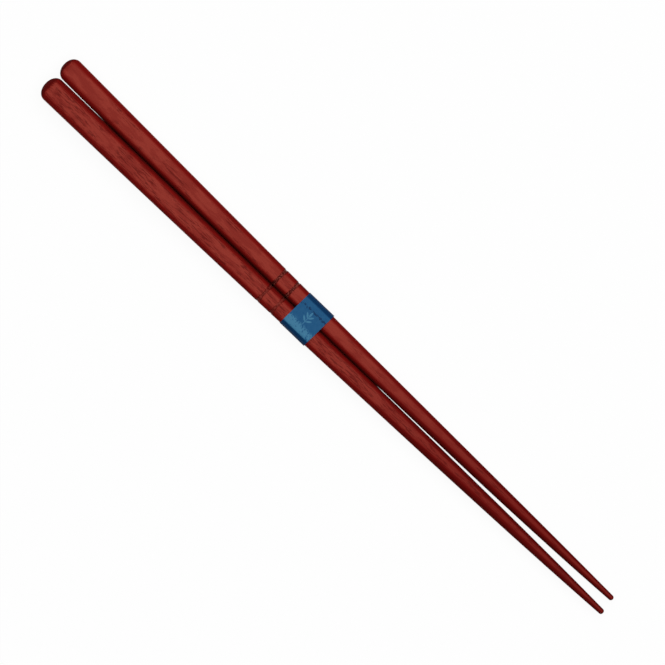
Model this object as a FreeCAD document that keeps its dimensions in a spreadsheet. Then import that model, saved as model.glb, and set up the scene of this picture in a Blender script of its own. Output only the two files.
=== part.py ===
import FreeCAD, Part
import math
import os
import Sketcher
from FreeCAD import Vector

# A pair of chopsticks lying side by side, held together by a paper band.
# Millimetres. X runs from the butts to the tips, Z is up, and the pair lies on Z = 0.
# The origin is on the underside of the band, halfway along it, under the line where the sticks meet.

SIZES = (
    ("stick_length", 225.3, "the longer stick, which is the front one, butt to tip"),
    ("rear_shortfall", 0.7, "how much shorter the rear stick is"),
    ("front_butt_width", 8.0, "across the front stick's flats at the butt"),
    ("front_tip_width", 1.67, "the same at its tip"),
    ("front_bow", -0.37, "how far its middle bends sideways, towards +Y"),
    ("front_bow_shift", 0.63, "how much more of that bend lies near the butt"),
    ("rear_butt_width", 7.55, "across the rear stick's flats at the butt"),
    ("rear_tip_width", 1.58, "the same at its tip"),
    ("rear_bow", -0.77, "how far its middle bends sideways, towards +Y"),
    ("rear_bow_shift", -0.38, "how much more of that bend lies near the butt"),
    ("even_share", 0.631, "share of the taper that is almost even along the stick"),
    ("even_power", 1.045, "power of that share"),
    ("late_power", 6.07, "power of the rest, which comes near the tip"),
    ("butt_corner", 0.66, "corner radius at the butt, for a half-width of 1"),
    ("tip_corner", 0.96, "corner radius at the tip, for a half-width of 1"),
    ("butt_dome", 2.9, "length of the rounded butt end"),
    ("tip_round", 0.75, "length of the rounded tip"),
    ("butt_relief", 0.2, "how far the inner side of each stick falls back at the butt"),
    ("relief_length", 28.0, "butt to the end of that relief"),
    ("groove_from_butt", 88.8, "butt to the middle of the first turned groove"),
    ("groove_spacing", 5.25, "first groove to the second"),
    ("groove_width", 1.3, "width of each groove, where it cuts the corners"),
    ("front_groove_depth", 0.1, "depth below the flats of the front stick"),
    ("rear_groove_depth", 0.16, "depth below the flats of the rear stick"),
    ("meet_at", 96.0, "butt to the place where the sticks meet"),
    ("side_gap", 0.03, "between the sticks where they meet"),
    ("band_from_butt", 98.2, "butt to the nearer edge of the band"),
    ("band_width", 9.8, "width of the band, along the sticks"),
    ("paper", 0.1, "thickness of the paper"),
    ("paper_gap", 0.03, "between the paper and the sticks"),
    ("lap", 6.0, "overlap of the glued paper ends"),
)

# Where the sections of a shaft are taken, as shares of its length, closer where the taper steepens.
STATIONS = (0.0, 0.04, 0.08, 0.13, 0.26, 0.4, 0.53, 0.64, 0.73, 0.81, 0.875, 0.925, 0.965, 1.0)
# Where the sections of a rounded end are taken, in degrees round its ellipse.
END_ANGLES = (14, 26, 38, 50, 62, 76, 90)
# A first guess, in degrees, at where the sloping top of the band leaves its bends.
SLOPE_GUESS = 88
# How far out a groove's profile reaches, past the corners of the section, for a half-width of 1.
GROOVE_REACH = 1.5
# Which way is outwards, along Y, for each stick.
OUTWARDS = {"front": -1, "rear": 1}

doc = FreeCAD.newDocument("chopsticks")


def make_sheet():
    sheet = doc.addObject("Spreadsheet::Sheet", "Sizes")
    for row, (alias, number, meaning) in enumerate(SIZES, start=1):
        sheet.set(f"A{row}", alias)
        sheet.set(f"B{row}", str(number))
        sheet.set(f"C{row}", meaning)
        sheet.setAlias(f"B{row}", alias)
    doc.recompute()
    return sheet


sheet = make_sheet()
worked = doc.addObject("App::VarSet", "Worked")


def size(alias):
    return f"Sizes.{alias}"


def work_out(name, expression):
    """A value that follows from the sizes, kept under its own name."""
    worked.addProperty("App::PropertyFloat", name)
    worked.setExpression(name, expression)
    doc.recompute()
    return f"Worked.{name}"


def value(expression):
    return float(sheet.evalExpression(expression))


# The stick's form at a distance from the butt, as expressions of the sizes.


def length(stick):
    if stick == "front":
        return size("stick_length")
    return f"({size('stick_length')} - {size('rear_shortfall')})"


def along(stick, distance):
    return f"(({distance}) / {length(stick)})"


def half_height(stick, distance):
    butt = size(f"{stick}_butt_width")
    tip = size(f"{stick}_tip_width")
    share = size("even_share")
    even = f"{share} * {along(stick, distance)} ^ {size('even_power')}"
    late = f"(1 - {share}) * {along(stick, distance)} ^ {size('late_power')}"
    return f"(({butt} - ({butt} - {tip}) * ({even} + {late})) / 2)"


def relief(distance):
    return f"({size('butt_relief')} * max(0; 1 - ({distance}) / {size('relief_length')}) ^ 2)"


def half_width(stick, distance):
    return f"({half_height(stick, distance)} - {relief(distance)} / 2)"


def thinning(stick, distance):
    """How fast the half-width falls, in mm for each mm along the stick, past the relief."""
    taper = f"({size(f'{stick}_butt_width')} - {size(f'{stick}_tip_width')})"
    share = size("even_share")
    even_power = size("even_power")
    late_power = size("late_power")
    even = f"{share} * {even_power} * {along(stick, distance)} ^ ({even_power} - 1)"
    late = f"(1 - {share}) * {late_power} * {along(stick, distance)} ^ ({late_power} - 1)"
    return f"({taper} * ({even} + {late}) / (2 * {length(stick)}))"


def sideways(stick, distance):
    """How far the middle of the stick lies towards +Y from a straight line, butt to tip."""
    x = along(stick, distance)
    shift = f"(1 + {size(f'{stick}_bow_shift')} * (1 - 2 * {x}))"
    bend = f"4 * {size(f'{stick}_bow')} * {x} * (1 - {x}) * {shift}"
    return f"({bend} + {OUTWARDS[stick]} * {relief(distance)} / 2)"


def sideways_slope(stick, distance):
    """How fast that grows, in mm for each mm along the stick, past the relief."""
    x = along(stick, distance)
    shift = size(f"{stick}_bow_shift")
    first = f"(1 - 2 * {x}) * (1 + {shift} * (1 - 2 * {x}))"
    second = f"2 * {shift} * {x} * (1 - {x})"
    return f"(4 * {size(f'{stick}_bow')} * ({first} - {second}) / {length(stick)})"


def corner_radius(stick, distance):
    growth = f"({size('tip_corner')} - {size('butt_corner')})"
    share = f"({size('butt_corner')} + {growth} * {along(stick, distance)} ^ 2)"
    return f"({half_height(stick, distance)} * {share})"


# Where the sticks lie. They touch at one place, where neither turns towards the other any more,
# and each rests on its butt and on the lapped paper of the band.

BAND_EDGE = size("band_from_butt")
MEET = size("meet_at")
BUTT_REST = size("butt_dome")

toe_slope = work_out(
    "toe_slope",
    f"({thinning('front', MEET)} + {thinning('rear', MEET)}"
    f" + {sideways_slope('rear', MEET)} - {sideways_slope('front', MEET)}) / 2",
)
butt_place = work_out("butt_place", f"-({BAND_EDGE} + {size('band_width')} / 2)")
lapped_paper = work_out("lapped_paper", f"2 * {size('paper')} + {size('paper_gap')}")


def place_stick(stick):
    """Works out where a stick starts, how it slopes, and its section at the band."""
    side = OUTWARDS[stick]
    start = work_out(
        f"{stick}_start",
        f"{side} * ({size('side_gap')} / 2 + {half_width(stick, MEET)} + {toe_slope} * {MEET})"
        f" - {sideways(stick, MEET)}",
    )
    rest_half = work_out(f"{stick}_rest_half", half_height(stick, BUTT_REST))
    band_half = work_out(f"{stick}_band_half", half_height(stick, BAND_EDGE))
    fall = work_out(
        f"{stick}_fall",
        f"({rest_half} - {band_half} - {lapped_paper}) / ({BAND_EDGE} - {BUTT_REST})",
    )
    height = work_out(f"{stick}_height", f"{rest_half} + {fall} * {BUTT_REST}")
    work_out(
        f"{stick}_band_middle",
        f"{start} - {side} * {toe_slope} * {BAND_EDGE} + {sideways(stick, BAND_EDGE)}",
    )
    work_out(f"{stick}_band_height", f"{lapped_paper} + {band_half}")
    work_out(f"{stick}_band_corner", corner_radius(stick, BAND_EDGE))
    turn = f"{-side} * atan({toe_slope}) / 1 deg"
    tilt = f"atan({fall}) / 1 deg"
    return (
        f"create(<<placement>>; create(<<vector>>; {butt_place}; {start}; {height});"
        f" create(<<rotation>>; {turn}; {tilt}; 0))"
    )


# Sketches.


def plane_of(body, role):
    return next(feature for feature in body.Origin.OriginFeatures if feature.Role == role)


def new_sketch(body, name, role, offsets):
    """A sketch on one of the body's own planes, moved off it by expressions for x, y or z."""
    sketch = body.newObject("Sketcher::SketchObject", name)
    sketch.AttachmentSupport = [(plane_of(body, role), "")]
    sketch.MapMode = "FlatFace"
    for axis, expression in offsets.items():
        sketch.setExpression(f".AttachmentOffset.Base.{axis}", expression)
    return sketch


def drive(sketch, kind, name, expression, *where):
    """A named dimension of the sketch that follows an expression."""
    index = sketch.addConstraint(Sketcher.Constraint(kind, *where, value(expression)))
    sketch.renameConstraint(index, name)
    sketch.setExpression(f"Constraints.{name}", expression)


def add_line(sketch, start, end):
    return sketch.addGeometry(Part.LineSegment(Vector(*start, 0), Vector(*end, 0)))


def add_arc(sketch, centre, radius, first, last):
    circle = Part.Circle(Vector(*centre, 0), Vector(0, 0, 1), radius)
    return sketch.addGeometry(Part.ArcOfCircle(circle, math.radians(first), math.radians(last)))


def join_smoothly(sketch, first, last):
    """The end of one edge runs smoothly into the start of the next, all anticlockwise."""
    sketch.addConstraint(Sketcher.Constraint("Tangent", first, 2, last, 1))


def rounded_square(sketch, half_across, half_up, corner):
    """A square with round corners about the sketch's origin, from its half-sizes and corner radius."""
    reach = value(half_across)
    rise = value(half_up)
    radius = value(corner)
    flat = reach - radius
    side = rise - radius
    sides = [
        add_line(sketch, (-flat, -rise), (flat, -rise)),
        add_line(sketch, (reach, -side), (reach, side)),
        add_line(sketch, (flat, rise), (-flat, rise)),
        add_line(sketch, (-reach, side), (-reach, -side)),
    ]
    corners = [
        add_arc(sketch, (flat, -side), radius, 270, 360),
        add_arc(sketch, (flat, side), radius, 0, 90),
        add_arc(sketch, (-flat, side), radius, 90, 180),
        add_arc(sketch, (-flat, -side), radius, 180, 270),
    ]
    for index in range(4):
        join_smoothly(sketch, sides[index], corners[index])
        join_smoothly(sketch, corners[index], sides[(index + 1) % 4])
    for index in (0, 2):
        sketch.addConstraint(Sketcher.Constraint("Horizontal", sides[index]))
    for index in (1, 3):
        sketch.addConstraint(Sketcher.Constraint("Vertical", sides[index]))
    for index in (1, 2, 3):
        sketch.addConstraint(Sketcher.Constraint("Equal", corners[0], corners[index]))
    sketch.addConstraint(Sketcher.Constraint("Symmetric", corners[0], 3, corners[2], 3, -1, 1))
    drive(sketch, "Radius", "corner", corner, corners[0])
    drive(sketch, "DistanceX", "across", f"2 * {half_across}", sides[3], 1, sides[1], 1)
    drive(sketch, "DistanceY", "up", f"2 * {half_up}", sides[0], 1, sides[2], 1)


# The sticks.


def section(body, name, stick, distance, width_at=None, scale="1"):
    """A section of the stick across its length, drawn to scale where an end is rounded."""
    width_at = width_at or distance
    sketch = new_sketch(body, name, "YZ_Plane", {"x": sideways(stick, distance), "z": distance})
    forms = (half_width, half_height, corner_radius)
    rounded_square(sketch, *(f"({form(stick, width_at)} * {scale})" for form in forms))
    return sketch


def loft(body, name, sections):
    feature = body.newObject("PartDesign::AdditiveLoft", name)
    feature.Profile = sections[0]
    feature.Sections = sections[1:]
    feature.Ruled = False
    doc.recompute()
    return feature


def full_to(stick):
    """How far from the butt the stick has its full section, up to the rounded tip."""
    return f"({length(stick)} - {size('tip_round')})"


def shaft(body, stick):
    """The tapered length between the rounded ends."""
    sections = []
    for number, share in enumerate(STATIONS):
        distance = f"({BUTT_REST} + {share} * ({full_to(stick)} - {BUTT_REST}))"
        sections.append(section(body, f"{stick}_shaft_{number}", stick, distance))
    return loft(body, f"{stick}_shaft", sections)


def rounded_end(body, stick, end, full_at, outwards):
    """An end of the stick, whose sections grow round a quarter of an ellipse up to the shaft."""
    sections = []
    for number, angle in enumerate(END_ANGLES):
        reach = f"cos({angle} deg) / cos({END_ANGLES[0]} deg)"
        distance = f"({full_at} + ({outwards}) * {reach})"
        name = f"{stick}_{end}_{number}"
        sections.append(section(body, name, stick, distance, full_at, f"sin({angle} deg)"))
    return loft(body, f"{stick}_{end}", sections)


def turned_grooves(body, stick):
    """Two grooves with round floors, turned about the middle of the stick where they lie."""
    between = f"({size('groove_from_butt')} + {size('groove_spacing')} / 2)"
    sketch = new_sketch(body, f"{stick}_groove_profile", "XZ_Plane", {"z": f"-{sideways(stick, between)}"})
    outside = f"({GROOVE_REACH} * {half_height(stick, between)})"
    for number in (0, 1):
        middle = f"({size('groove_from_butt')} + {number} * {size('groove_spacing')})"
        floor = f"({half_height(stick, middle)} - {size(f'{stick}_groove_depth')})"
        groove_profile(sketch, f"groove_{number}", middle, floor, outside)
    grooves = body.newObject("PartDesign::Groove", f"{stick}_grooves")
    grooves.Profile = sketch
    grooves.ReferenceAxis = (sketch, ["H_Axis"])
    grooves.Angle = 360
    doc.recompute()
    return grooves


def groove_profile(sketch, name, middle, floor, outside):
    """A slot with a half-round floor, from its floor's distance to the axis out past the stick."""
    width = size("groove_width")
    centre = value(middle)
    radius = value(width) / 2
    low = value(floor) + radius
    high = value(outside)
    bottom = add_arc(sketch, (centre, low), radius, 180, 360)
    right = add_line(sketch, (centre + radius, low), (centre + radius, high))
    top = add_line(sketch, (centre + radius, high), (centre - radius, high))
    left = add_line(sketch, (centre - radius, high), (centre - radius, low))
    join_smoothly(sketch, bottom, right)
    join_smoothly(sketch, left, bottom)
    sketch.addConstraint(Sketcher.Constraint("Coincident", right, 2, top, 1))
    sketch.addConstraint(Sketcher.Constraint("Coincident", top, 2, left, 1))
    sketch.addConstraint(Sketcher.Constraint("Vertical", right))
    sketch.addConstraint(Sketcher.Constraint("Horizontal", top))
    drive(sketch, "Radius", f"{name}_radius", f"({width} / 2)", bottom)
    drive(sketch, "DistanceX", f"{name}_place", middle, -1, 1, bottom, 3)
    drive(sketch, "DistanceY", f"{name}_floor", f"({floor} + {width} / 2)", -1, 1, bottom, 3)
    drive(sketch, "DistanceY", f"{name}_outside", outside, -1, 1, top, 1)


def chopstick(stick):
    body = doc.addObject("PartDesign::Body", f"chopstick_{stick}")
    body.Label = f"chopstick_{stick}"
    body.setExpression("Placement", place_stick(stick))
    doc.recompute()
    shaft(body, stick)
    rounded_end(body, stick, "butt", BUTT_REST, f"-{BUTT_REST}")
    rounded_end(body, stick, "tip", full_to(stick), size("tip_round"))
    before = body.Shape.Volume
    grooves = turned_grooves(body, stick)
    if not grooves.Shape.Volume < before:
        raise RuntimeError(f"the grooves of the {stick} stick cut nothing")
    return body


# The band.


def band_loop(sketch, name, depth, lap_side):
    """One face of the paper all the way round, at a depth below its outer face.

    The paper hugs the sides and tops of both sticks, and slopes down from the thicker front one to
    the rear one. Under them one end lies flat on the ground and the other laps over it, so the loop
    has a step, as high as the paper, at the end of the lap.
    """
    skin = f"({size('paper_gap')} + {size('paper')} - {depth})"
    left = f"(Worked.front_band_middle - Worked.front_band_half - {skin})"
    right = f"(Worked.rear_band_middle + Worked.rear_band_half + {skin})"
    left_bend = f"(Worked.front_band_corner + {skin})"
    right_bend = f"(Worked.rear_band_corner + {skin})"
    ridge = "(Worked.front_band_middle + Worked.front_band_half - Worked.front_band_corner)"
    left_top = "(Worked.front_band_height + Worked.front_band_half - Worked.front_band_corner)"
    right_top = "(Worked.rear_band_height + Worked.rear_band_half - Worked.rear_band_corner)"
    lap_end = f"({lap_side} * {size('lap')} / 2)"
    upper = f"({depth} + {size('paper')})"

    left_y = value(left)
    right_y = value(right)
    left_r = value(left_bend)
    right_r = value(right_bend)
    ridge_y = value(ridge)
    left_z = value(left_top)
    right_z = value(right_top)
    step_y = value(lap_end)
    floor_z = value(depth)
    ledge_z = value(upper)

    ledge = add_line(sketch, (step_y, ledge_z), (right_y - right_r, ledge_z))
    right_low_arc = add_arc(sketch, (right_y - right_r, ledge_z + right_r), right_r, 270, 360)
    right_side = add_line(sketch, (right_y, ledge_z + right_r), (right_y, right_z))
    right_top_arc = add_arc(sketch, (right_y - right_r, right_z), right_r, 0, SLOPE_GUESS)
    slope = add_line(sketch, (right_y - right_r, right_z + right_r), (ridge_y, left_z + left_r))
    ridge_arc = add_arc(sketch, (ridge_y, left_z), left_r, SLOPE_GUESS, 90)
    crown = add_line(sketch, (ridge_y, left_z + left_r), (left_y + left_r, left_z + left_r))
    left_top_arc = add_arc(sketch, (left_y + left_r, left_z), left_r, 90, 180)
    left_side = add_line(sketch, (left_y, left_z), (left_y, floor_z + left_r))
    left_low_arc = add_arc(sketch, (left_y + left_r, floor_z + left_r), left_r, 180, 270)
    floor = add_line(sketch, (left_y + left_r, floor_z), (step_y, floor_z))
    rise = add_line(sketch, (step_y, floor_z), (step_y, ledge_z))

    up = (ledge, right_low_arc, right_side, right_top_arc)
    over = (slope, ridge_arc, crown, left_top_arc)
    down = (left_side, left_low_arc, floor)
    smooth = up + over + down
    for first, last in zip(smooth, smooth[1:]):
        join_smoothly(sketch, first, last)
    sketch.addConstraint(Sketcher.Constraint("Coincident", floor, 2, rise, 1))
    sketch.addConstraint(Sketcher.Constraint("Coincident", rise, 2, ledge, 1))
    for line in (ledge, crown, floor):
        sketch.addConstraint(Sketcher.Constraint("Horizontal", line))
    for line in (right_side, left_side, rise):
        sketch.addConstraint(Sketcher.Constraint("Vertical", line))
    sketch.addConstraint(Sketcher.Constraint("Equal", right_low_arc, right_top_arc))
    for arc in (left_top_arc, ridge_arc):
        sketch.addConstraint(Sketcher.Constraint("Equal", left_low_arc, arc))
    drive(sketch, "Radius", f"{name}_right_bend", right_bend, right_low_arc)
    drive(sketch, "Radius", f"{name}_left_bend", left_bend, left_low_arc)
    drive(sketch, "DistanceX", f"{name}_right", right, -1, 1, right_side, 1)
    drive(sketch, "DistanceX", f"{name}_left", left, -1, 1, left_side, 1)
    drive(sketch, "DistanceX", f"{name}_ridge", ridge, -1, 1, ridge_arc, 3)
    drive(sketch, "DistanceX", f"{name}_lap_end", lap_end, -1, 1, rise, 1)
    drive(sketch, "DistanceY", f"{name}_floor", depth, -1, 1, floor, 1)
    drive(sketch, "DistanceY", f"{name}_ledge", upper, -1, 1, ledge, 1)
    drive(sketch, "DistanceY", f"{name}_right_top", right_top, -1, 1, right_top_arc, 3)
    drive(sketch, "DistanceY", f"{name}_left_top", left_top, -1, 1, left_top_arc, 3)


def paper_band():
    body = doc.addObject("PartDesign::Body", "paper_band")
    body.Label = "paper_band"
    sketch = new_sketch(body, "band_outline", "YZ_Plane", {"z": f"-{size('band_width')} / 2"})
    band_loop(sketch, "outer", "0", 1)
    band_loop(sketch, "inner", size("paper"), -1)
    pad = body.newObject("PartDesign::Pad", "band_strip")
    pad.Profile = sketch
    pad.setExpression("Length", size("band_width"))
    doc.recompute()
    return body


def write_parts(bodies):
    for thing in doc.Objects:
        if {"Invalid", "Error"} & set(thing.State):
            raise RuntimeError(f"{thing.Name} could not be built: {thing.State}")
    for body in bodies:
        if body.Shape.isNull() or not body.Shape.isValid() or len(body.Shape.Solids) != 1:
            raise RuntimeError(f"{body.Label} is not one sound solid")
    os.makedirs("parts", exist_ok=True)
    for body in bodies:
        body.Shape.exportStep(f"parts/{body.Label}.step")
        box = body.Shape.BoundBox
        print(f"{body.Label}: {body.Shape.Volume:.1f} mm3, {box}")


write_parts([chopstick("front"), chopstick("rear"), paper_band()])
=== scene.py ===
"""Two red-brown lacquered chopsticks in a blue paper band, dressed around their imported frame."""

import math

import bmesh
import bpy
from bpy.props import FloatProperty, FloatVectorProperty, IntProperty, PointerProperty
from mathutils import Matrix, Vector


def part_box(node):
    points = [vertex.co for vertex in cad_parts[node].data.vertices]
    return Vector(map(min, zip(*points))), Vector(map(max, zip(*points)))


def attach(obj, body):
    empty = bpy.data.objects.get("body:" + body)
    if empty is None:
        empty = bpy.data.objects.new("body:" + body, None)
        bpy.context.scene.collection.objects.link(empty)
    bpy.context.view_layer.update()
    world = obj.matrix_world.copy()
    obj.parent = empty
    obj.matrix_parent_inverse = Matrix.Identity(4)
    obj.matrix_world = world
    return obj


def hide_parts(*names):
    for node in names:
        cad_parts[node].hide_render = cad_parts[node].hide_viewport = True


bl_info = {
    "name": "Banded Chopsticks",
    "version": (1, 0, 0),
    "blender": (4, 5, 0),
    "location": "View3D > Sidebar > Chopsticks",
    "description": "Builds a pair of lacquered chopsticks, their paper band and a plain stage",
    "category": "Add Mesh",
}

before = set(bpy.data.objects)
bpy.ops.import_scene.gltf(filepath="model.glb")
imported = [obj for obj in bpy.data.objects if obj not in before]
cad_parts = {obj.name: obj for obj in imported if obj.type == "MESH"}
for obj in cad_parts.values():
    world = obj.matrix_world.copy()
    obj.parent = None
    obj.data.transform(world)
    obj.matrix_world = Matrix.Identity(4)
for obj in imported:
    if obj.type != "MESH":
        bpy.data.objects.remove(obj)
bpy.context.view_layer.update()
BAND_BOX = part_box("paper_band")
MM = 0.001

# How many rings of vertices each stretch of a stick has, from the butt to the tip.
STRETCHES = (
    ("butt", 30),
    ("handle", 130),
    ("lip", 1),
    ("groove", 18),
    ("lip", 1),
    ("land", 10),
    ("lip", 1),
    ("groove", 18),
    ("lip", 1),
    ("shank", 180),
    ("tip", 20),
)
RINGS = sum(rings for name, rings in STRETCHES)

# The sizes that a stick's tree takes from the group for both sticks, and from the stick's own group.
SHARED_SIZES = (
    "even_share",
    "even_power",
    "late_power",
    "butt_corner",
    "tip_corner",
    "crown",
    "butt_dome",
    "tip_round",
    "butt_relief",
    "relief_length",
    "groove_from_butt",
    "groove_spacing",
    "groove_width",
    "groove_lip",
    "fade_from",
    "fade_to",
    "stripe_turn",
)
OWN_SIZES = ("butt_width", "tip_width", "bow", "bow_shift", "groove_depth", "ring_width", "joint_from")


def input_name(prop):
    """The name of the tree's input that takes a property."""
    return prop.replace("_", " ").title()


STICK_INPUTS = ["Length", "Outwards"] + [input_name(prop) for prop in SHARED_SIZES + OWN_SIZES]


def length(name, description, default):
    return FloatProperty(name=name, description=description, default=default, unit="LENGTH", precision=5)


def share(name, description, default):
    return FloatProperty(name=name, description=description, default=default, precision=3)


def degrees(name, description, default):
    turn = math.radians(default)
    return FloatProperty(name=name, description=description, default=turn, subtype="ANGLE")


def colour(name, description, default):
    return FloatVectorProperty(
        name=name, description=description, default=default, size=3, min=0, max=1, subtype="COLOR"
    )


def stick_sizes(butt, tip, bow, bow_shift, groove_depth, ring, ring_stain, pores, rim, joint_from):
    """The sizes that each stick has for itself, with lengths in millimetres."""
    return {
        "butt_width": length("Butt Width", "Across the flats at the butt", butt * MM),
        "tip_width": length("Tip Width", "Across the flats at the tip", tip * MM),
        "bow": length("Bow", "How far the middle bends sideways, towards +Y", bow * MM),
        "bow_shift": share("Bow Shift", "How much more of the bend lies near the butt", bow_shift),
        "groove_depth": length("Groove Depth", "Depth below the flats", groove_depth * MM),
        "ring_width": length("Ring Width", "Width of the dark line in each groove", ring * MM),
        "ring_stain": share("Ring Stain", "How dark that line is", ring_stain),
        "pores": share("Pores", "Share of the surface where open pores show", pores),
        # The rim is painted shade round the domed butt, where the pale flats stop.
        "rim": length("Rim", "Width of the deeper stain round the butt end", rim * MM),
        # A side that faces the other stick squarely enough takes painted shade.
        "joint_from": share("Joint From", "How squarely a side has to face in to darken", joint_from),
    }


class FrontStick(bpy.types.PropertyGroup):
    """The thicker stick."""

    __annotations__ = stick_sizes(
        butt=8,
        tip=1.67,
        bow=-0.37,
        bow_shift=0.63,
        groove_depth=0.1,
        ring=0.85,
        ring_stain=0.48,
        pores=0.62,
        rim=2.1,
        joint_from=0.6,
    )


class RearStick(bpy.types.PropertyGroup):
    """The thinner stick."""

    __annotations__ = stick_sizes(
        butt=7.55,
        tip=1.58,
        bow=-0.77,
        bow_shift=-0.38,
        groove_depth=0.16,
        ring=1,
        ring_stain=0.85,
        pores=0.45,
        rim=1.4,
        joint_from=0.35,
    )


class PairSizes(bpy.types.PropertyGroup):
    """The sizes that both sticks share."""

    even_share: share("Even Share", "Share of the taper that is almost even", 0.631)
    even_power: share("Even Power", "Power of that share", 1.045)
    late_power: share("Late Power", "Power of the rest, which comes near the tip", 6.07)
    butt_corner: share("Butt Corner", "Corner radius at the butt, for a half-width of 1", 0.66)
    tip_corner: share("Tip Corner", "Corner radius at the tip, for a half-width of 1", 0.96)
    crown: share("Crown", "How sharply the flats meet the corners; lower is rounder", 5)
    butt_dome: length("Butt Dome", "Length of the rounded butt", 2.9 * MM)
    tip_round: length("Tip Round", "Length of the rounded tip", 0.75 * MM)
    butt_relief: length("Butt Relief", "How far the inner side falls back at the butt", 0.2 * MM)
    relief_length: length("Relief Length", "Butt to the end of that relief", 28 * MM)
    groove_from_butt: length("Groove From Butt", "Butt to the first groove", 88.8 * MM)
    groove_spacing: length("Groove Spacing", "First groove to the second", 5.25 * MM)
    groove_width: length("Groove Width", "Width of each groove at the corners", 1.3 * MM)
    groove_lip: length("Groove Lip", "Width of a groove's steep edge", 0.03 * MM)
    # The pale flats are a painted sheen; these narrow it and turn it towards +Y near the tip.
    fade_from: length("Fade From", "Butt to where the pale flats start to narrow", 95 * MM)
    fade_to: length("Fade To", "Butt to where they are narrowest", 200 * MM)
    stripe_turn: degrees("Stripe Turn", "How far the pale flats have turned by then", 13)
    sides: IntProperty(name="Sides", description="Vertices round a stick", default=96, min=24)


class BandSizes(bpy.types.PropertyGroup):
    """The sizes of the paper band."""

    width: length("Width", "Along the sticks", BAND_BOX[1].x - BAND_BOX[0].x)
    paper: length("Paper", "Thickness of the paper", 0.1 * MM)
    front_bend: length("Front Bend", "Radius of the bends round the front stick", 2.52 * MM)
    rear_bend: length("Rear Bend", "Radius of the bends round the rear stick", 2.38 * MM)
    front_top: length("Front Top", "Height of the band over the front stick", BAND_BOX[1].z)
    rear_top: length("Rear Top", "Height of the band over the rear stick", 6.29 * MM)
    ridge: length("Ridge", "Where the top starts to slope, along Y", -2.3 * MM)
    crease: length("Crease", "Where the top meets the flat of the rear stick, along Y", 2.6 * MM)
    lap: length("Lap", "Overlap of the glued ends", 6 * MM)
    wall: share("Wall", "Share of the paper's thickness that the strip has", 0.98)
    skew: share("Skew", "How far the edges run off square, for 1 across", 0.03)
    ripple: length("Ripple", "How far the edges wave in and out", 0.06 * MM)
    steps: IntProperty(name="Steps", description="Faces along the strip", default=420, min=60)
    rows: IntProperty(name="Rows", description="Faces across the strip", default=40, min=4)


class Finish(bpy.types.PropertyGroup):
    """Colours and gloss."""

    # The flats' colours hold a painted sheen of the soft box, so they are paler than the edges' colours,
    # which hold painted shade.
    stain: colour("Stain", "Red-brown stain on the flats", (0.265, 0.027, 0.0185))
    dark_stain_and_sheen: colour("Dark Stain", "The stain where the grain takes more of it", (0.21, 0.0155, 0.0115))
    tip_stain_and_sheen: colour("Tip Stain", "The same near the tip", (0.165, 0.0085, 0.0065))
    edge_stain_and_shade: colour("Edge Stain", "The deeper stain on the rounded edges", (0.175, 0.0035, 0.003))
    tip_edge_stain_and_shade: colour("Tip Edge Stain", "The same near the tip", (0.11, 0.002, 0.002))
    # Painted shade on the -Y side of the tip half.
    side_shade_colour: colour("Deep Stain", "The deepest, on the tip half, towards -Y", (0.065, 0.0008, 0.0008))
    pore: colour("Pore", "Inside the open pores", (0.09, 0.003, 0.003))
    # Painted shade where the sticks face each other.
    joint_shade: colour("Joint Dirt", "Dark stain on the facing sides", (0.012, 0.0006, 0.0006))
    groove_stain: colour("Groove Stain", "Stain that has run into the grooves", (0.04, 0.0015, 0.0015))
    # Pale flecks in the grooves.
    groove_flecks: colour("Groove Dust", "Dust and polish left in the grooves", (0.2, 0.04, 0.03))
    mottle: share("Mottle", "How far the mottled grain goes to the dark stain", 0.7)
    streaks: share("Streaks", "How far the fine streaks go to it", 0.25)
    side_shade: share("Deep", "How far the stain goes to the deepest", 0.6)
    pore_depth: share("Pore Depth", "How far the open pores go to their colour", 0.65)
    joint_shade_depth: share("Joint Depth", "How far the facing sides go to the joint's dirt", 0.85)
    lacquer: share("Lacquer", "Roughness of the lacquer", 0.4)
    lacquer_gloss: share("Lacquer Gloss", "Specular level of the lacquer", 0.06)
    gleam: colour("Gleam", "Tint of the lacquer's reflections", (1, 0.95, 0.72))
    # The darker ink is painted shade on the bends and along the crease; the paler ink is the paper's
    # fibres, the printed sprig and a painted sheen over the front stick.
    ink: colour("Ink", "Blue ink on the band", (0.007, 0.075, 0.187))
    ink_shade: colour("Deep Ink", "The ink on the bends and in the crease", (0.0015, 0.029, 0.094))
    pale_ink_and_sheen: colour("Pale Ink", "The ink where it is rubbed, and the printed sprig", (0.05, 0.185, 0.31))
    fibres: share("Fibres", "How far the paper's fibres go to the pale ink", 0.12)
    painted_sheen: share("Rubbed", "How far the rubbed part goes to it", 0.9)
    printed: share("Printed", "How far the sprig goes to it", 0.85)
    paper: share("Paper", "Roughness of the paper", 0.45)
    paper_gloss: share("Paper Gloss", "Specular level of the paper", 0.07)


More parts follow.
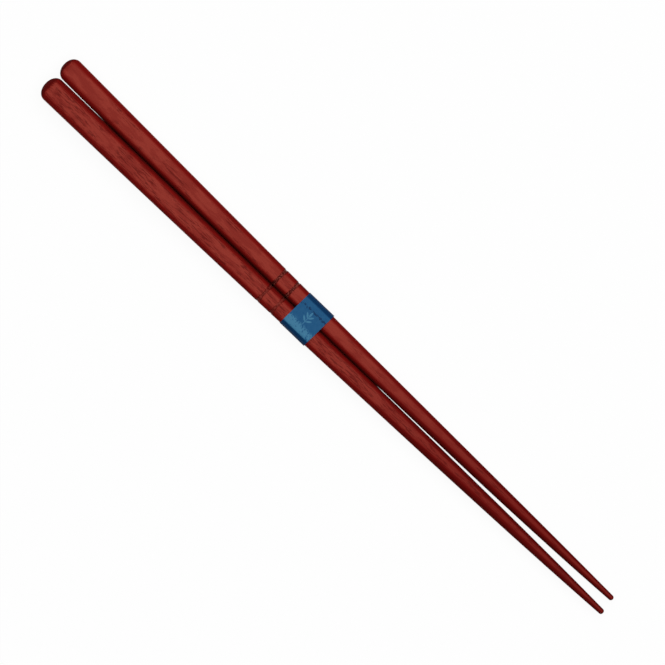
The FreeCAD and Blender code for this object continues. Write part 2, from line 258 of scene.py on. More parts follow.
class StageSizes(bpy.types.PropertyGroup):
    """The camera, lights and floor."""

    picture_width: length("Picture Width", "Width that the camera sees at the sticks", 194.8 * MM)
    lens: FloatProperty(name="Lens", description="Focal length in millimetres", default=300, unit="CAMERA")
    centre_x: length("Centre X", "What the camera looks at, along X", 8.05 * MM)
    centre_y: length("Centre Y", "The same along Y", 2.22 * MM)
    middle_height: length("Middle Height", "Height of the sticks' outline above the floor", 3.5 * MM)
    roll: degrees("Roll", "Turn of the picture", 43.94)
    floor_size: length("Floor Size", "Side of the floor", 12)
    floor_thickness: length("Floor Thickness", "Thickness of the floor", 0.02)
    lamp_height: length("Lamp Height", "Height of the soft box", 3.2)
    lamp_size: length("Lamp Size", "Side of the soft box", 4.4)
    lamp_power: FloatProperty(name="Lamp Power", description="Of the soft box", default=150, unit="POWER")
    lamp_lean: degrees("Lamp Lean", "Lean of the soft box towards +Y", 12)
    sky: share("Sky", "Strength of the light all round", 0.1)
    lift: share("Lift", "Share of the floor's white that needs no light", 0.92)
    white: colour("White", "Colour of the floor as the camera sees it", (0.9, 0.9, 0.9))
    bounce: colour("Bounce", "Colour of the light that the floor sends back up", (0.25, 0.25, 0.25))
    shade: colour("Shade", "Colour of the floor under the joint", (0.002, 0.002, 0.002))
    dark_from: length("Dark From", "Where the shade starts, along X", -87 * MM)
    dark_to: length("Dark To", "Where it ends", 31 * MM)
    dark_in: length("Dark In", "Length over which it comes in", 4 * MM)
    dark_out: length("Dark Out", "Length over which it goes out", 3 * MM)
    dark_half: length("Dark Half", "Half-width of that shade", 3 * MM)


# Sums in node trees.


class Amount:
    """A number in a node tree, for sums written as usual."""

    def __init__(self, tree, socket):
        self.tree = tree
        self.socket = socket

    def node(self, operation, *others):
        node = self.tree.nodes.new("ShaderNodeMath")
        node.operation = operation
        feed(self.tree, node.inputs, (self, *others))
        return Amount(self.tree, node.outputs[0])

    def __add__(self, other):
        return self.node("ADD", other)

    def __radd__(self, other):
        return self.node("ADD", other)

    def __sub__(self, other):
        return self.node("SUBTRACT", other)

    def __rsub__(self, other):
        return (self * -1) + other

    def __mul__(self, other):
        return self.node("MULTIPLY", other)

    def __rmul__(self, other):
        return self.node("MULTIPLY", other)

    def __truediv__(self, other):
        return self.node("DIVIDE", other)

    def __pow__(self, other):
        return self.node("POWER", other)

    def sin(self):
        return self.node("SINE")

    def cos(self):
        return self.node("COSINE")

    def root(self):
        return self.node("SQRT")

    def size(self):
        return self.node("ABSOLUTE")

    def whole(self):
        return self.node("ROUND")

    def least(self, other):
        return self.node("MINIMUM", other)

    def most(self, other):
        return self.node("MAXIMUM", other)

    def over(self, other):
        return self.node("GREATER_THAN", other)

    def within(self, low, high):
        return self.most(low).least(high)

    def between(self, low, high):
        """From low at 0 to high at 1."""
        return low + (high - low) * self

    def ramp(self, low, high):
        """0 below low, 1 above high, smooth between."""
        node = self.tree.nodes.new("ShaderNodeMapRange")
        node.interpolation_type = "SMOOTHSTEP"
        feed(self.tree, node.inputs, (self, low, high, 0, 1))
        return Amount(self.tree, node.outputs[0])


def feed(tree, sockets, items):
    """Links each item to its socket, or sets the socket to it where it is a plain value."""
    for socket, item in zip(sockets, items):
        if isinstance(item, Amount):
            tree.links.new(item.socket, socket)
        elif isinstance(item, bpy.types.NodeSocket):
            tree.links.new(item, socket)
        else:
            socket.default_value = item


def vector(tree, x, y, z):
    node = tree.nodes.new("ShaderNodeCombineXYZ")
    feed(tree, node.inputs, (x, y, z))
    return node.outputs[0]


def parts_of(tree, socket):
    node = tree.nodes.new("ShaderNodeSeparateXYZ")
    tree.links.new(socket, node.inputs[0])
    return [Amount(tree, output) for output in node.outputs]


# Geometry node trees.


def new_tree(name, inputs):
    """A geometry tree with named inputs, and what carries each of them inside."""
    tree = bpy.data.node_groups.new(name, "GeometryNodeTree")
    tree.interface.new_socket("Geometry", in_out="INPUT", socket_type="NodeSocketGeometry")
    for label, kind in inputs:
        tree.interface.new_socket(label, in_out="INPUT", socket_type=kind)
    tree.interface.new_socket("Geometry", in_out="OUTPUT", socket_type="NodeSocketGeometry")
    entry = tree.nodes.new("NodeGroupInput")
    return tree, {socket.name: socket for socket in entry.outputs if socket.name}


def end_tree(tree, geometry, material):
    """Ends a tree in realised instances, a material and its output."""
    realize = tree.nodes.new("GeometryNodeRealizeInstances")
    painted = tree.nodes.new("GeometryNodeSetMaterial")
    exit_node = tree.nodes.new("NodeGroupOutput")
    tree.links.new(geometry, realize.inputs["Geometry"])
    tree.links.new(realize.outputs[0], painted.inputs["Geometry"])
    tree.links.new(material, painted.inputs["Material"])
    tree.links.new(painted.outputs[0], exit_node.inputs[0])


def grid(tree, steps, sides):
    """A grid of unit squares as wide as its steps and sides, and each vertex's step and side."""
    node = tree.nodes.new("GeometryNodeMeshGrid")
    node.inputs["Size X"].default_value = 1
    node.inputs["Size Y"].default_value = 1
    feed(tree, [node.inputs["Vertices X"], node.inputs["Vertices Y"]], [steps + 1, sides + 1])
    place = tree.nodes.new("GeometryNodeInputPosition")
    x, y = parts_of(tree, place.outputs[0])[:2]
    return node.outputs["Mesh"], ((x + 0.5) * steps).whole(), ((y + 0.5) * sides).whole()


def move_points(tree, geometry, position):
    node = tree.nodes.new("GeometryNodeSetPosition")
    feed(tree, [node.inputs["Geometry"], node.inputs["Position"]], [geometry, position])
    return node.outputs[0]


def keep(tree, geometry, name, kind, value):
    """Stores a value on the points, for the materials to read."""
    node = tree.nodes.new("GeometryNodeStoreNamedAttribute")
    node.data_type = kind
    node.domain = "POINT"
    node.inputs["Name"].default_value = name
    feed(tree, [node.inputs["Geometry"], node.inputs["Value"]], [geometry, value])
    return node.outputs[0]


# How near vertices are that are merged, which closes the ends and the seam of a stick.
WELD = 0.0001 * MM
# The least radius that a groove's cut is worked out for.
LEAST_RADIUS = 0.01 * MM
# How many half-widths from a groove's middle nothing is cut any more.
PAST_GROOVE = 1.0001
# Where the dark line in a groove starts to fade and is gone, as shares of its width.
RING_FADE = (0.4, 0.6)
# Where the painted shade on the facing sides starts and is darkest, as shares of the relief's length.
CLOSING = (0.3, 0.9)
# How dark those sides are before that, and the share of it that they lose near the tips.
OPEN_DARK = 0.35
TIP_PALER = 0.6
# How squarely they face each other where they are darkest, past 1 so that they never quite are.
JOINT_FULL = 1.05
# Where the painted shade on the -Y side starts and is full, by how squarely a side faces -Y, and along the
# fade.
SIDE_SHADE_ROUND = (0.15, 0.5)
SIDE_SHADE_ALONG = (0.1, 0.8)


def groove_middles(size):
    first = size["Groove From Butt"]
    return first, first + size["Groove Spacing"]


def half_height(size, distance):
    x = distance / size["Length"]
    even = size["Even Share"] * x ** size["Even Power"]
    late = (1 - size["Even Share"]) * x ** size["Late Power"]
    return (size["Butt Width"] - (size["Butt Width"] - size["Tip Width"]) * (even + late)) / 2


def places_along(size, ring):
    """How far from the butt a ring lies, and how far its section shrinks in a rounded end."""
    first_groove, second_groove = groove_middles(size)
    groove_half = size["Groove Width"] / 2
    lengths = {
        "handle": first_groove - groove_half - size["Groove Lip"] - size["Butt Dome"],
        "lip": size["Groove Lip"],
        "groove": size["Groove Width"],
        "land": size["Groove Spacing"] - size["Groove Width"] - 2 * size["Groove Lip"],
        "shank": size["Length"] - size["Tip Round"] - second_groove - groove_half - size["Groove Lip"],
    }
    along = scale = None
    first = 0
    for name, rings in STRETCHES:
        done = ((ring - first) / rings).within(0, 1)
        quarter = done * (math.pi / 2)
        if name == "butt":
            step = (1 - quarter.cos()) * size["Butt Dome"]
            scale = quarter.sin()
        elif name == "tip":
            step = quarter.sin() * size["Tip Round"]
            scale = scale * quarter.cos()
        else:
            step = done * lengths[name]
        along = step if along is None else along + step
        first += rings
    return along, scale


def section_outline(size, full, angle, relief):
    """Y and Z of a point of the rounded square at full size, before the grooves are cut."""
    tall = half_height(size, full)
    wide = tall - relief / 2
    growth = size["Tip Corner"] - size["Butt Corner"]
    corner = tall * (size["Butt Corner"] + growth * (full / size["Length"]) ** 2)
    crown = size["Crown"]
    y = (wide - corner) * (angle.cos() * crown).within(-1, 1) + corner * angle.cos()
    z = (tall - corner) * (angle.sin() * crown).within(-1, 1) + corner * angle.sin()
    return y, z


def groove_cut(size, along, y, z):
    """The share of a point's distance from the middle that the grooves leave."""
    groove_half = size["Groove Width"] / 2
    allowed = None
    for middle in groove_middles(size):
        off = (along - middle).size() / groove_half
        rise = (1 - (1 - off * off).most(0).root()) * groove_half
        radius = half_height(size, middle) - size["Groove Depth"] + rise + off.over(PAST_GROOVE)
        allowed = radius if allowed is None else allowed.least(radius)
    return (allowed / (y * y + z * z).root().most(LEAST_RADIUS)).least(1)


def stick_marks(size, along, angle):
    """What the material reads: the grooves' dark lines, the flats that take a painted sheen, the sides
    that face the other stick and the -Y side of the tip half, which take painted shade, and the fade
    towards the tip."""
    ring_line = None
    for middle in groove_middles(size):
        near = 1 - ((along - middle).size() / size["Ring Width"]).ramp(*RING_FADE)
        ring_line = near if ring_line is None else ring_line.most(near)
    fade = along.ramp(size["Fade From"], size["Fade To"])
    # The pale flats' painted sheen turns towards +Y along the fade.
    turned = angle + fade * size["Stripe Turn"]
    face = turned.cos().size().most(turned.sin().size())
    facing = size["Outwards"] * angle.cos() * -1
    closing = along.ramp(CLOSING[0] * size["Relief Length"], CLOSING[1] * size["Relief Length"])
    # Painted shade on the sides that face the other stick.
    joint = facing.ramp(size["Joint From"], JOINT_FULL) * closing.between(OPEN_DARK, 1)
    joint = joint * (1 - TIP_PALER * fade)
    # Painted shade on the -Y side of the tip half.
    side_shade = (angle.cos() * -1).ramp(*SIDE_SHADE_ROUND) * fade.ramp(*SIDE_SHADE_ALONG)
    return {"ring": ring_line, "face": face, "joint": joint, "side_shade": side_shade, "fade": fade}


def stick_tree(sides):
    """A tapered stick with a domed butt, a round tip and two turned grooves, along X from its butt."""
    inputs = [(label, "NodeSocketFloat") for label in STICK_INPUTS]
    inputs += [("Butt Centre", "NodeSocketVector"), ("Turn", "NodeSocketVector")]
    inputs += [("Grain Start", "NodeSocketVector"), ("Material", "NodeSocketMaterial")]
    tree, entry = new_tree("Tapered stick", inputs)
    size = {label: Amount(tree, entry[label]) for label in STICK_INPUTS}
    mesh, ring, side = grid(tree, RINGS, sides)
    angle = side * (2 * math.pi / sides)

    along, scale = places_along(size, ring)
    full = along.most(size["Butt Dome"]).least(size["Length"] - size["Tip Round"])
    relief = size["Butt Relief"] * (1 - full / size["Relief Length"]).most(0) ** 2
    y, z = (scale * part for part in section_outline(size, full, angle, relief))
    cut = groove_cut(size, along, y, z)
    x = along / size["Length"]
    bend = 4 * size["Bow"] * x * (1 - x) * (1 + size["Bow Shift"] * (1 - 2 * x))
    sideways = bend + size["Outwards"] * relief / 2

    grain = tree.nodes.new("ShaderNodeVectorMath")
    grain.operation = "ADD"
    feed(tree, grain.inputs, [vector(tree, along, y * cut, z * cut), entry["Grain Start"]])
    mesh = keep(tree, mesh, "grain", "FLOAT_VECTOR", grain.outputs[0])
    for name, mark in stick_marks(size, along, angle).items():
        mesh = keep(tree, mesh, name, "FLOAT", mark)
    mesh = move_points(tree, mesh, vector(tree, along, y * cut + sideways, z * cut))

    place = tree.nodes.new("GeometryNodeTransform")
    sockets = [place.inputs[name] for name in ("Geometry", "Translation", "Rotation")]
    feed(tree, sockets, [mesh, entry["Butt Centre"], entry["Turn"]])
    merge = tree.nodes.new("GeometryNodeMergeByDistance")
    merge.inputs["Distance"].default_value = WELD
    tree.links.new(place.outputs[0], merge.inputs["Geometry"])
    end_tree(tree, merge.outputs[0], entry["Material"])
    return tree


# Waves to the metre in the edges of the paper.
RIPPLE_WAVES = 260


def band_tree():
    """A strip of paper that follows the curve it is given, its width along X."""
    inputs = [(label, "NodeSocketFloat") for label in ("Width", "Skew", "Ripple")]
    inputs += [("Steps", "NodeSocketInt"), ("Rows", "NodeSocketInt"), ("Material", "NodeSocketMaterial")]
    tree, entry = new_tree("Paper strip", inputs)
    steps, rows = Amount(tree, entry["Steps"]), Amount(tree, entry["Rows"])
    mesh, step, row = grid(tree, steps, rows)
    path = tree.nodes.new("GeometryNodeSampleCurve")
    path.mode = "FACTOR"
    path.use_all_curves = True
    feed(tree, [path.inputs[name] for name in ("Curves", "Factor")], [entry["Geometry"], step / steps])
    y, z = parts_of(tree, path.outputs["Position"])[1:]
    across = (row / rows - 0.5) * Amount(tree, entry["Width"])
    ripple = tree.nodes.new("ShaderNodeTexNoise")
    ripple.inputs["Scale"].default_value = RIPPLE_WAVES
    tree.links.new(vector(tree, 0, y, z), ripple.inputs["Vector"])
    uneven = (Amount(tree, ripple.outputs[0]) - 0.5) * Amount(tree, entry["Ripple"])
    x = across + y * Amount(tree, entry["Skew"]) + uneven
    mesh = move_points(tree, mesh, vector(tree, x, y, z))
    end_tree(tree, mesh, entry["Material"])
    return tree


def grown(tree, name, data, values):
    """An object that runs the tree on its data, with these values for the tree's inputs."""
    source = bpy.data.objects.new(name + "_source", data)
    bpy.context.scene.collection.objects.link(source)
    modifier = source.modifiers.new("Shape", "NODES")
    modifier.node_group = tree
    sockets = {item.name: item for item in tree.interface.items_tree if item.in_out == "INPUT"}
    for label, value in values.items():
        modifier[sockets[label].identifier] = value
    return source


def settle(source, name, smooth_angle):
    """Turns the source's evaluated shape into a plain, closed mesh object with outward faces."""
    evaluated = source.evaluated_get(bpy.context.evaluated_depsgraph_get())
    mesh = bpy.data.meshes.new_from_object(evaluated)
    bpy.data.objects.remove(source)
    shape = bmesh.new()
    shape.from_mesh(mesh)
    bmesh.ops.recalc_face_normals(shape, faces=shape.faces)
    shape.to_mesh(mesh)
    shape.free()
    mesh.shade_smooth()
    mesh.set_sharp_from_angle(angle=math.radians(smooth_angle))
    mesh.name = name
    piece = bpy.data.objects.new(name, mesh)
    bpy.context.scene.collection.objects.link(piece)
    return piece


# Materials.


def new_material(name):
    material = bpy.data.materials.new(name)
    material.use_nodes = True
    return material, material.node_tree, material.node_tree.nodes["Principled BSDF"]


def noise(tree, place, along, across, detail=2, rough=0.5, seed=0):
    """Noise on a stretched copy of the place, as many patches a metre along and across."""
    stretch = tree.nodes.new("ShaderNodeVectorMath")
    stretch.operation = "MULTIPLY_ADD"
    stretch.inputs[1].default_value = (along, across, across)
    stretch.inputs[2].default_value = (seed, seed * 2, seed * 3)
    tree.links.new(place, stretch.inputs[0])
    node = tree.nodes.new("ShaderNodeTexNoise")
    node.inputs["Scale"].default_value = 1
    node.inputs["Detail"].default_value = detail
    node.inputs["Roughness"].default_value = rough
    tree.links.new(stretch.outputs[0], node.inputs["Vector"])
    return Amount(tree, node.outputs[0])


def mix(tree, amount, first, second):
    node = tree.nodes.new("ShaderNodeMix")
    node.data_type = "RGBA"
    sockets = [node.inputs["Factor"], node.inputs[6], node.inputs[7]]
    feed(tree, sockets, [amount, solid(first), solid(second)])
    return node.outputs[2]


def solid(paint):
    """A colour as a socket takes it, or the socket that brings one."""
    return paint if isinstance(paint, bpy.types.NodeSocket) else (*paint, 1)


def attribute(tree, name):
    node = tree.nodes.new("ShaderNodeAttribute")
    node.attribute_name = name
    return node


def add_bump(tree, shader, height, strength, depth):
    bump = tree.nodes.new("ShaderNodeBump")
    bump.inputs["Strength"].default_value = strength
    bump.inputs["Distance"].default_value = depth
    tree.links.new(height.socket, bump.inputs["Height"])
    tree.links.new(bump.outputs[0], shader.inputs["Normal"])


# How squarely a side faces where its pale flat, a painted sheen, starts and is full, at the butt and near
# the tip.
SHEEN_START = (0.83, 0.93)
SHEEN_FULL = (0.985, 0.997)
# Where along the fade the painted sheen on the flats narrows from the first to the second.
SHEEN_NARROWING = (0.1, 0.7)
# Where the painted shade round the butt starts to fade and is gone, as shares of its width.
RIM_FADE = (0.75, 1.1)
# What the share of open pores is taken from, to give the noise where their patches start and are full.
PATCH_START = 0.95
PATCH_FULL = 1.1
# How much rougher than the plain lacquer these are.
ROUGHER_PORES = 0.12
ROUGHER_MOTTLE = 0.06
ROUGHER_TIP = 0.1
ROUGHER_EDGE = 0.35
# How far the wood's grain stands up and its pores sink in, as shares of the bump's depth.
GRAIN_RISE = 0.5
PORE_SINK = 0.6


def lacquered_wood(name, finish, own, grain_start):
    """Stained wood under satin lacquer, with streaks and open pores that follow the grain, a painted sheen
    on the flats, and painted shade on the edges, round the butt, on the facing sides and on the tip half's
    -Y side.
    """
    material, tree, shader = new_material(name)
    place = attribute(tree, "grain").outputs["Vector"]
    fade = Amount(tree, attribute(tree, "fade").outputs["Fac"])
    face = Amount(tree, attribute(tree, "face").outputs["Fac"])
    side_shade = Amount(tree, attribute(tree, "side_shade").outputs["Fac"])
    joint = Amount(tree, attribute(tree, "joint").outputs["Fac"])
    ring_line = Amount(tree, attribute(tree, "ring").outputs["Fac"])

    mottle = noise(tree, place, along=130, across=560, detail=4, rough=0.7).ramp(0.47, 0.56)
    streaks = noise(tree, place, along=60, across=2600, detail=3, rough=0.6, seed=3).ramp(0.45, 0.65)
    patches = noise(tree, place, along=110, across=460, seed=7)
    patches = patches.ramp(PATCH_START - own.pores, PATCH_FULL - own.pores)
    dashes = noise(tree, place, along=320, across=3300, rough=0.6, seed=11).ramp(0.51, 0.57)
    open_pores = patches * dashes
    pale_flecks = noise(tree, place, along=2200, across=2200, seed=5).ramp(0.46, 0.56)

    narrow = fade.ramp(*SHEEN_NARROWING)
    from_butt = parts_of(tree, place)[0] - grain_start
    inside = from_butt.ramp(own.rim * RIM_FADE[0], own.rim * RIM_FADE[1])
    # The pale flats are a painted sheen; the rounded edges and the rim round the butt take painted shade.
    face = face.ramp(narrow.between(*SHEEN_START), narrow.between(*SHEEN_FULL)) * inside
    paint = mix(tree, finish.mottle * mottle + finish.streaks * streaks, finish.stain, finish.dark_stain_and_sheen)
    paint = mix(tree, fade, paint, finish.tip_stain_and_sheen)
    edge = mix(tree, fade.most(1 - inside), finish.edge_stain_and_shade, finish.tip_edge_stain_and_shade)
    paint = mix(tree, face, edge, paint)
    # Painted shade on the -Y side of the tip half.
    paint = mix(tree, finish.side_shade * side_shade, paint, finish.side_shade_colour)
    paint = mix(tree, finish.pore_depth * open_pores, paint, finish.pore)
    # Painted shade where the sticks face each other.
    paint = mix(tree, finish.joint_shade_depth * joint, paint, finish.joint_shade)
    # Pale flecks in the grooves.
    in_groove = mix(tree, pale_flecks, finish.groove_stain, finish.groove_flecks)
    paint = mix(tree, ring_line * own.ring_stain, paint, in_groove)
    tree.links.new(paint, shader.inputs["Base Color"])

    roughness = finish.lacquer + ROUGHER_PORES * open_pores + ROUGHER_MOTTLE * mottle
    roughness = roughness + ROUGHER_TIP * fade + ROUGHER_EDGE * (1 - face)
    tree.links.new(roughness.socket, shader.inputs["Roughness"])
    shader.inputs["Specular IOR Level"].default_value = finish.lacquer_gloss
    shader.inputs["Specular Tint"].default_value = (*finish.gleam, 1)
    grain = noise(tree, place, along=90, across=1500, seed=13)
    add_bump(tree, shader, GRAIN_RISE * grain - PORE_SINK * open_pores, strength=0.35, depth=0.03 * MM)
    return material


# Each leaf of the printed sprig, in millimetres: its middle, its turn in degrees, its half-length
# and its half-breadth.
LEAVES = (
    (0, 1.5, 90, 1.05, 0.3),
    (0.72, 0.8, 48, 1, 0.28),
    (-0.72, 0.8, 132, 1, 0.28),
    (0.85, -0.45, 40, 1.05, 0.28),
    (-0.85, -0.45, 140, 1.05, 0.28),
)
# The lower and upper end of the sprig's stem, and the stem's half-breadth.
STEM = (-2.1, 0.8, 0.09)
# Half-width of the soft edge of the stem, and of a leaf for a half-breadth of 1.
STEM_SOFT = 0.05
LEAF_SOFT = 0.12


def leaf(x, y, middle_x, middle_y, turn, long, broad):
    """1 inside a slim pointed leaf, 0 outside. Its sizes are in millimetres, its turn in degrees."""
    angle = math.radians(turn)
    off_x = x - middle_x
    off_y = y - middle_y
    along = (off_x * math.cos(angle) + off_y * math.sin(angle)) / long
    across = (off_y * math.cos(angle) - off_x * math.sin(angle)) / broad
    width = (1 - along * along).most(0)
    return (width - across.size()).ramp(-LEAF_SOFT, LEAF_SOFT) * (1 - along.size()).over(0)


def sprig_print(x, y):
    """1 on a small bamboo sprig, 0 beside it."""
    low, high, half = STEM
    print_mask = (y - low).over(0) * (high - y).over(0) * (half - x.size()).ramp(-STEM_SOFT, STEM_SOFT)
    for sizes in LEAVES:
        print_mask = print_mask.most(leaf(x, y, *sizes))
    return print_mask


# How level the paper is where its bends end and its flats start, from 0 upright to 1 flat.
FLATTENING = (0.89, 0.965)
# How far the edges of the painted sheen and of the crease's painted shade wander, in millimetres, for a
# noise of 1.
EDGE_WANDER = 5
# How far short of the ridge the painted sheen ends, and the half-width of its soft edge.
SHEEN_SHORT = 0.1
SHEEN_SOFT = 0.3
# The noise where gaps in the painted sheen start and are full, and what each millimetre towards +X adds to
# it.
SHEEN_GAPS = (0.06, 0.14)
SHEEN_GAP_DRIFT = 0.015
# Half-width of the crease, and where its dark line of painted shade starts and is full, from 0 at its edge
# to 1.
CREASE_HALF = 0.5
CREASE_LINE = (0.4, 0.6)


def printed_paper(name, finish, band):
    """Blue printed paper with a painted sheen over the front stick, painted shade on its bends and along
    the crease, and a pale printed sprig.
    """
    material, tree, shader = new_material(name)
    coordinates = tree.nodes.new("ShaderNodeTexCoord")
    place = coordinates.outputs["Object"]
    x, y, z = (part / MM for part in parts_of(tree, place))
    level = parts_of(tree, coordinates.outputs["Normal"])[2].size().ramp(*FLATTENING)
    top = z.over(band.rear_top / MM / 2)
    fibres = noise(tree, place, along=900, across=900, detail=4, rough=0.7, seed=2).ramp(0.35, 0.75)
    uneven = noise(tree, place, along=1300, across=1300, detail=3, rough=0.7, seed=6) - 0.5
    wander = EDGE_WANDER * uneven
    # Painted sheen over the top of the front stick, up to near the ridge.
    sheen_to = band.ridge / MM - SHEEN_SHORT + wander
    past_sheen = y.ramp(sheen_to - SHEEN_SOFT, sheen_to + SHEEN_SOFT)
    sheen_gaps = (uneven + SHEEN_GAP_DRIFT * x).ramp(*SHEEN_GAPS)
    painted_sheen = top * level * (1 - past_sheen) * (1 - sheen_gaps)
    # A dark line of painted shade along the crease.
    crease = 1 - ((y - band.crease / MM) / CREASE_HALF).size()
    crease = top * (crease + wander).ramp(*CREASE_LINE)
    paint = mix(tree, finish.fibres * fibres, finish.ink, finish.pale_ink_and_sheen)
    # Painted shade on the bends.
    paint = mix(tree, level, finish.ink_shade, paint)
    # Painted sheen over the front stick.
    paint = mix(tree, finish.painted_sheen * painted_sheen, paint, finish.pale_ink_and_sheen)
    paint = mix(tree, crease, paint, finish.ink_shade)
    paint = mix(tree, finish.printed * top * sprig_print(x, y), paint, finish.pale_ink_and_sheen)
    tree.links.new(paint, shader.inputs["Base Color"])
    shader.inputs["Roughness"].default_value = finish.paper
    shader.inputs["Specular IOR Level"].default_value = finish.paper_gloss
    add_bump(tree, shader, fibres, strength=0.25, depth=0.02 * MM)
    return material


def floor_paint(stage):
    """A white floor that keeps a soft shadow. Its top has a painted shade under the joint of the sticks.
    """
    material, tree, shader = new_material("floor_white")
    shader.inputs["Roughness"].default_value = 1
    shader.inputs["Specular IOR Level"].default_value = 0
    glow = tree.nodes.new("ShaderNodeEmission")
    rays = tree.nodes.new("ShaderNodeLightPath").outputs
    seen = [Amount(tree, rays[f"Is {kind} Ray"]) for kind in ("Camera", "Glossy", "Transmission")]
    x, y, z = parts_of(tree, tree.nodes.new("ShaderNodeTexCoord").outputs["Object"])
    joint = x.ramp(stage.dark_from, stage.dark_from + stage.dark_in)
    joint = joint * (1 - x.ramp(stage.dark_to - stage.dark_out, stage.dark_to))
    joint = joint * (1 - y.size().over(stage.dark_half))
    joint = joint * z.over(-stage.floor_thickness / 2)
    white = seen[0].most(seen[1]).most(seen[2])
    paint = mix(tree, white, stage.bounce, stage.white)
    tree.links.new(mix(tree, joint, paint, stage.shade), shader.inputs["Base Color"])
    blend = tree.nodes.new("ShaderNodeMixShader")
    feed(tree, blend.inputs, [white * stage.lift * (1 - joint), shader.outputs[0], glow.outputs[0]])
    tree.links.new(blend.outputs[0], tree.nodes["Material Output"].inputs["Surface"])
    return material


# Pieces.

# How near its outermost vertices a stick's small end face lies, along X.
END_FACE = 0.02 * MM
# Where each stick starts in the noise of the grain, so that the two differ.
GRAIN_STARTS = {"front": (0, 0, 0), "rear": (0.4, 0.031, 0.017)}
# The least angle, in degrees, between faces at a sharp edge of a stick and of the paper.
STICK_SHARP = 32
PAPER_SHARP = 40
# About how many degrees of a bend of the paper lie between two of its points.
BEND_STEP = 4


def ends_of(node):
    """The middles of a stick's two small end faces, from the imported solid."""
    points = [vertex.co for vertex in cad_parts[node].data.vertices]
    middles = []
    for limit in (min(point.x for point in points), max(point.x for point in points)):
        face = [point for point in points if abs(point.x - limit) < END_FACE]
        low = Vector(min(point[axis] for point in face) for axis in range(3))
        high = Vector(max(point[axis] for point in face) for axis in range(3))
        middles.append((low + high) / 2)
    return middles


class CHOPSTICKS_OT_sticks(bpy.types.Operator):
    """Build both tapered, lacquered sticks"""

    bl_idname = "chopsticks.sticks"
    bl_label = "Sticks"

    def execute(self, context):
        scene = context.scene
        pair = scene.chopsticks_pair
        tree = stick_tree(pair.sides)
        sticks = (("front", scene.chopsticks_front, -1), ("rear", scene.chopsticks_rear, 1))
        for stick, own, outwards in sticks:
            name = f"lacquered_{stick}_stick"
            node = f"chopstick_{stick}"
            grain_start = GRAIN_STARTS[stick]
            butt, tip = ends_of(node)
            # The relief moves the middle of the butt's end face outwards by half its own depth.
            butt.y -= outwards * pair.butt_relief / 2
            reach = tip - butt
            tilt = math.atan2(-reach.z, math.hypot(reach.x, reach.y))
            turn = math.atan2(reach.y, reach.x)
            wood = lacquered_wood(f"lacquered_wood_{stick}", scene.chopsticks_finish, own, grain_start[0])
            values = {input_name(prop): getattr(pair, prop) for prop in SHARED_SIZES}
            values |= {input_name(prop): getattr(own, prop) for prop in OWN_SIZES}
            values |= {
                "Length": reach.length,
                "Outwards": float(outwards),
                "Butt Centre": butt,
                "Turn": (0, tilt, turn),
                "Grain Start": grain_start,
                "Material": wood,
            }
            source = grown(tree, name, bpy.data.meshes.new(f"{name}_source"), values)
            piece = settle(source, name, STICK_SHARP)
            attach(piece, "root")
            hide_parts(node)
        return {"FINISHED"}


def arc(middle_y, middle_z, radius, first, last):
    """Points round a bend, from one angle to another, in degrees."""
    count = max(2, round(abs(last - first) / BEND_STEP))
    angles = [math.radians(first + (last - first) * step / count) for step in range(count + 1)]
    return [(middle_y + radius * math.cos(turn), middle_z + radius * math.sin(turn)) for turn in angles]


def wrap_path(sizes):
    """The middle of the paper, from the outer end on the ground round to the inner end over it."""
    half = sizes.paper / 2
    left = BAND_BOX[0].y + half
    right = BAND_BOX[1].y - half
    front = sizes.front_bend - half
    rear = sizes.rear_bend - half
    front_high = sizes.front_top - sizes.front_bend
    rear_high = sizes.rear_top - sizes.rear_bend
    ridge = sizes.ridge
    run = (right - rear) - ridge
    drop = (front_high + front) - (rear_high + rear)
    slope = math.degrees(math.atan2(drop, run))
    points = [(sizes.lap / 2, half)]
    points += arc(left + front, half + front, front, 270, 180)
    points += arc(left + front, front_high, front, 180, 90)
    points += arc(ridge, front_high, front, 90, 90 - slope)
    points += arc(right - rear, rear_high, rear, 90 - slope, 0)
    points += arc(right - rear, 3 * half + rear, rear, 0, -90)
    points.append((-sizes.lap / 2, 3 * half))
    return points


class CHOPSTICKS_OT_band(bpy.types.Operator):
    """Build the paper band round both sticks"""

    bl_idname = "chopsticks.band"
    bl_label = "Paper Band"

    def execute(self, context):
        sizes = context.scene.chopsticks_band
        path = bpy.data.curves.new("wrap", "CURVE")
        path.dimensions = "3D"
        points = wrap_path(sizes)
        spline = path.splines.new("POLY")
        spline.points.add(len(points) - 1)
        for point, (y, z) in zip(spline.points, points):
            point.co = (0, y, z, 1)
        values = {
            "Width": sizes.width,
            "Skew": sizes.skew,
            "Ripple": sizes.ripple,
            "Steps": sizes.steps,
            "Rows": sizes.rows,
            "Material": printed_paper("printed_paper", context.scene.chopsticks_finish, sizes),
        }
        source = grown(band_tree(), "printed_band", path, values)
        wall = source.modifiers.new("Paper", "SOLIDIFY")
        wall.thickness = sizes.paper * sizes.wall
        wall.offset = 0
        piece = settle(source, "printed_band", PAPER_SHARP)
        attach(piece, "root")
        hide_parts("paper_band")
        return {"FINISHED"}


class CHOPSTICKS_OT_stage(bpy.types.Operator):
    """Build the floor, the lights and the camera"""

    bl_idname = "chopsticks.stage"
    bl_label = "Stage"

    def execute(self, context):
        stage = context.scene.chopsticks_stage
        add_floor(stage)
        add_lights(context.scene, stage)
        add_camera(context.scene, stage)
        return {"FINISHED"}


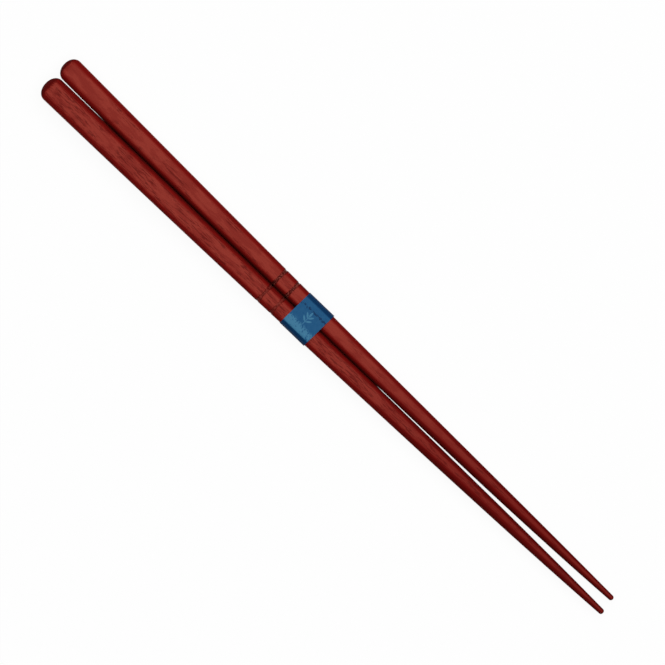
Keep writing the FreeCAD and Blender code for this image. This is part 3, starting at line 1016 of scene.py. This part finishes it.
def add_floor(stage):
    mesh = bpy.data.meshes.new("floor")
    slab = bmesh.new()
    bmesh.ops.create_cube(slab, size=1)
    bmesh.ops.translate(slab, vec=(0, 0, -0.5), verts=slab.verts)
    size = (stage.floor_size, stage.floor_size, stage.floor_thickness)
    bmesh.ops.scale(slab, vec=size, verts=slab.verts)
    slab.to_mesh(mesh)
    slab.free()
    mesh.materials.append(floor_paint(stage))
    floor = bpy.data.objects.new("floor", mesh)
    bpy.context.scene.collection.objects.link(floor)


def add_lights(scene, stage):
    lamp = bpy.data.lights.new("soft_box", "AREA")
    lamp.shape = "SQUARE"
    lamp.size = stage.lamp_size
    lamp.energy = stage.lamp_power
    holder = bpy.data.objects.new("soft_box", lamp)
    holder.location = Vector((0, math.sin(stage.lamp_lean), math.cos(stage.lamp_lean))) * stage.lamp_height
    holder.rotation_euler = (-stage.lamp_lean, 0, 0)
    scene.collection.objects.link(holder)
    world = bpy.data.worlds.new("studio")
    world.use_nodes = True
    background = world.node_tree.nodes["Background"]
    background.inputs["Color"].default_value = (1, 1, 1, 1)
    background.inputs["Strength"].default_value = stage.sky
    scene.world = world


def add_camera(scene, stage):
    camera = bpy.data.cameras.new("camera")
    camera.lens = stage.lens
    holder = bpy.data.objects.new("camera", camera)
    away = stage.picture_width * camera.lens / camera.sensor_width
    holder.location = (stage.centre_x, stage.centre_y, stage.middle_height + away)
    holder.rotation_euler = (0, 0, stage.roll)
    scene.collection.objects.link(holder)
    scene.camera = holder
    scene.view_settings.view_transform = "Standard"


class CHOPSTICKS_PT_panel(bpy.types.Panel):
    """Lists the pieces of the pair"""

    bl_idname = "CHOPSTICKS_PT_panel"
    bl_label = "Banded Chopsticks"
    bl_space_type = "VIEW_3D"
    bl_region_type = "UI"
    bl_category = "Chopsticks"

    def draw(self, context):
        for operator in OPERATORS:
            self.layout.operator(operator.bl_idname)


SETTINGS = {
    "chopsticks_front": FrontStick,
    "chopsticks_rear": RearStick,
    "chopsticks_pair": PairSizes,
    "chopsticks_band": BandSizes,
    "chopsticks_finish": Finish,
    "chopsticks_stage": StageSizes,
}
OPERATORS = (CHOPSTICKS_OT_sticks, CHOPSTICKS_OT_band, CHOPSTICKS_OT_stage)


def register():
    for group in SETTINGS.values():
        bpy.utils.register_class(group)
    for name, group in SETTINGS.items():
        setattr(bpy.types.Scene, name, PointerProperty(type=group))
    for operator in OPERATORS:
        bpy.utils.register_class(operator)
    bpy.utils.register_class(CHOPSTICKS_PT_panel)


def unregister():
    bpy.utils.unregister_class(CHOPSTICKS_PT_panel)
    for operator in reversed(OPERATORS):
        bpy.utils.unregister_class(operator)
    for name in SETTINGS:
        delattr(bpy.types.Scene, name)
    for group in reversed(SETTINGS.values()):
        bpy.utils.unregister_class(group)


def main():
    register()
    bpy.ops.chopsticks.sticks()
    bpy.ops.chopsticks.band()
    bpy.ops.chopsticks.stage()
    bpy.context.view_layer.update()


if __name__ == "__main__":
    main()
